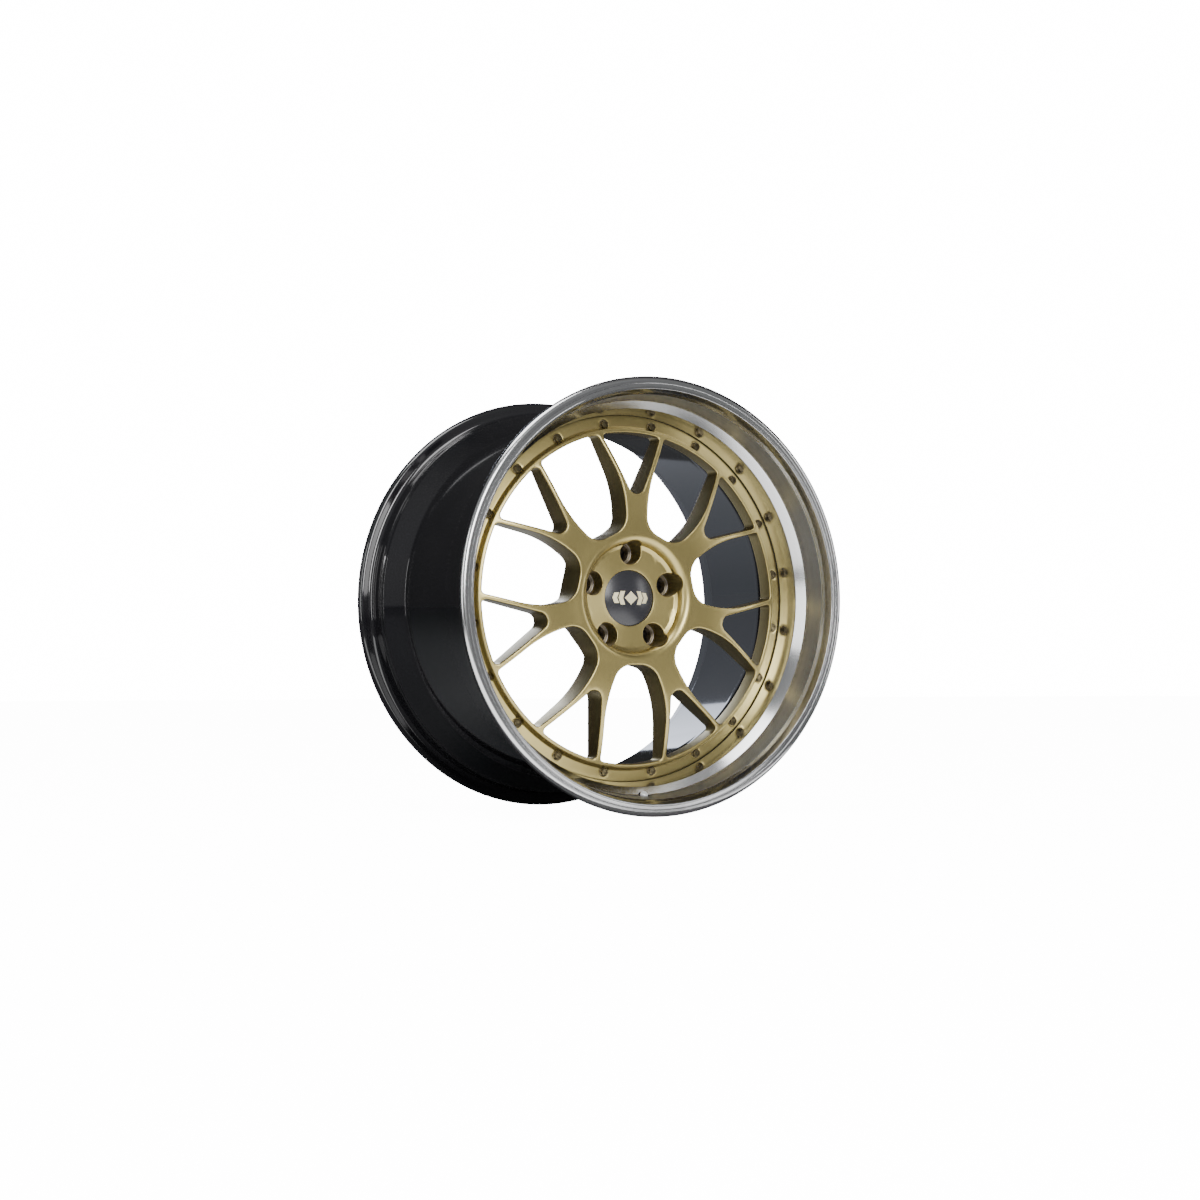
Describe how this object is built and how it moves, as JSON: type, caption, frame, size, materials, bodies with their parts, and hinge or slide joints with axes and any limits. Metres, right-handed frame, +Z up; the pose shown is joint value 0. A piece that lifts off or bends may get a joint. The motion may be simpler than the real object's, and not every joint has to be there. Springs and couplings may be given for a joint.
{
  "type": "forged racing wheel rim",
  "caption": "Two-piece forged wheel rim: deep polished lip, black barrel, bolted gold spoke centre with Y-shaped spokes, five wheel-nut holes, centre cap and tyre valve.",
  "frame": {"origin": "wheel centre: on the axle, midway between the two tyre flanges", "axes": "+Z up, axle along Y, outer face towards -Y, hub mounting face towards +Y, valve at the bottom"},
  "size_m": [0.543, 0.316, 0.5428],
  "materials": {
    "rim_finish": "forged aluminium, gloss black barrel with a bright-cut polished outer lip",
    "gold_paint": "forged aluminium, satin champagne gold paint",
    "fastener_steel": "dull bright steel",
    "bare_aluminium": "turned",
    "spring_steel": "drawn wire",
    "cap_gloss": "gloss black",
    "emblem_gold": "satin gold",
    "seal_rubber": "matte",
    "valve_metal": "plated",
    "black_hardware": "black anodised",
    "core_brass": "machined",
    "cap_metal": "bright plated"
  },
  "bodies": {
    "wheel": {"rim": "rim_finish", "centre_disc": "gold_paint", "assembly_bolts": "fastener_steel", "assembly_washers": "fastener_steel", "assembly_nuts": "fastener_steel", "hub_centring_ring": "bare_aluminium", "hub_ring_clip": "spring_steel", "valve_stem": "valve_metal", "valve_inner_seal": "seal_rubber", "valve_washer": "black_hardware", "valve_nut": "black_hardware", "valve_core_body": "core_brass", "valve_core_seal_ring": "seal_rubber", "valve_core_spring": "spring_steel"},
    "centre_cap": {"cap_shell": "cap_gloss", "cap_emblem": "emblem_gold", "cap_spring_ring": "spring_steel", "cap_o_ring": "seal_rubber"},
    "dust_cap": {"valve_cap": "cap_metal", "valve_cap_seal": "seal_rubber"},
    "core_pin": {"valve_core_pin": "core_brass", "valve_core_cup_seal": "seal_rubber"}
  },
  "joints": [
    {"name": "centre_cap_pull", "type": "slide", "parent": "wheel", "child": "centre_cap", "axis": [0, -1, 0], "range_m": [0, 0.03]},
    {"name": "dust_cap_unscrew", "type": "slide", "parent": "wheel", "child": "dust_cap", "axis": [0, -0.5, 0.866], "range_m": [0, 0.012]},
    {"name": "core_pin_press", "type": "slide", "parent": "wheel", "child": "core_pin", "axis": [0, 0.5, -0.866], "range_m": [0, 0.0012], "stiffness_N_per_m": 600, "springref_m": -0.0015, "deforming": ["valve_core_spring"]}
  ]
}
